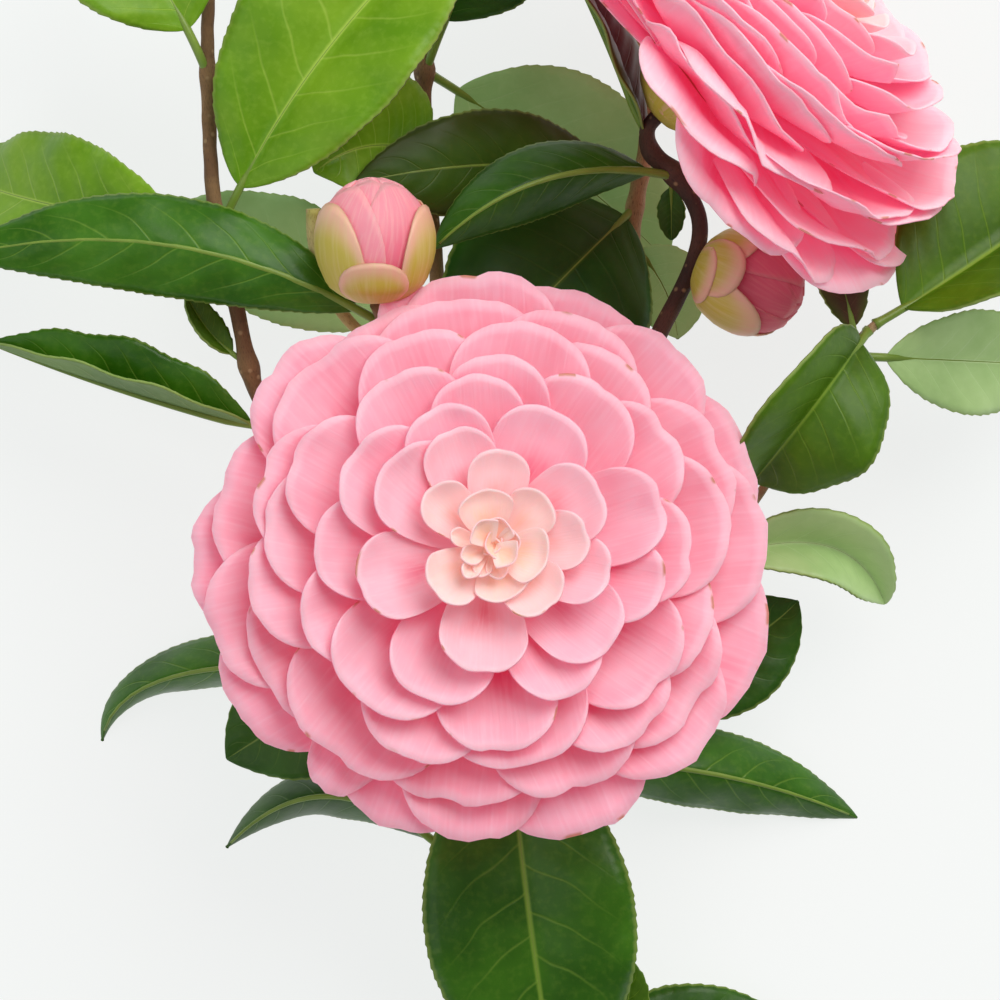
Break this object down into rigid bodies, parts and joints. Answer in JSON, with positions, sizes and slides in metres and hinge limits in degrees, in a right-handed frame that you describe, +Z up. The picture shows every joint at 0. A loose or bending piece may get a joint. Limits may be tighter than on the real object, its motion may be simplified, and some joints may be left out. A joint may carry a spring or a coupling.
{
  "type": "cut camellia branch",
  "caption": "Cut flowering branch of a camellia shrub with pink double blooms, buds and glossy leaves, lying on its leaves.",
  "frame": {"origin": "on the surface that the branch lies on, under the middle of its bounding box", "axes": "+Z up from the surface, +Y from the cut end towards the tips of the stems, +X to the right seen from above"},
  "size_m": [0.214, 0.2665, 0.0971],
  "materials": {
    "bark": "thin tan-brown bark with darker streaks",
    "leaf": "glossy deep green upper side with a pale midrib, paler matte underside",
    "petal": "soft matte pink, deeper at the petal bases and pale at the rims",
    "sepal": "silky green-yellow scales",
    "bud": "satin pink petals wrapped in green-yellow scales"
  },
  "bodies": {
    "root": {"main_stem": "bark", "left_stem": "bark", "middle_stem": "bark", "back_stem": "bark", "bloom_stem": "bark", "right_stem": "bark", "bud_twig": "bark", "scale_stub": "bark", "low_twig": "bark", "leaf_top_left": "leaf", "leaf_upper_left": "leaf", "leaf_left_back": "leaf", "leaf_left_long": "leaf", "leaf_left_lower": "leaf", "leaf_behind_stem": "leaf", "leaf_small_young": "leaf", "leaf_bright": "leaf", "leaf_dark": "leaf", "leaf_upper_centre": "leaf", "leaf_centre_large": "leaf", "leaf_top_back": "leaf", "leaf_bloom_back": "leaf", "leaf_top_middle": "leaf", "leaf_right_upper": "leaf", "leaf_right_middle": "leaf", "leaf_right_drooping": "leaf", "leaf_under_bloom": "leaf", "leaf_right_low": "leaf", "leaf_right_behind": "leaf", "leaf_low_right": "leaf", "leaf_bottom_front": "leaf", "leaf_low_left": "leaf", "leaf_left_hidden": "leaf", "leaf_left_low": "leaf", "leaf_bottom_small": "leaf", "leaf_bottom_right": "leaf", "leaf_back_centre": "leaf", "leaf_hanging_tip": "leaf", "leaf_end_left": "leaf", "leaf_end_middle": "leaf", "leaf_end_back": "leaf", "bloom_front": "petal", "calyx_front": "sepal", "bloom_upper": "petal", "calyx_upper": "sepal", "bud_left": "bud", "bud_right": "bud"}
  },
  "joints": []
}
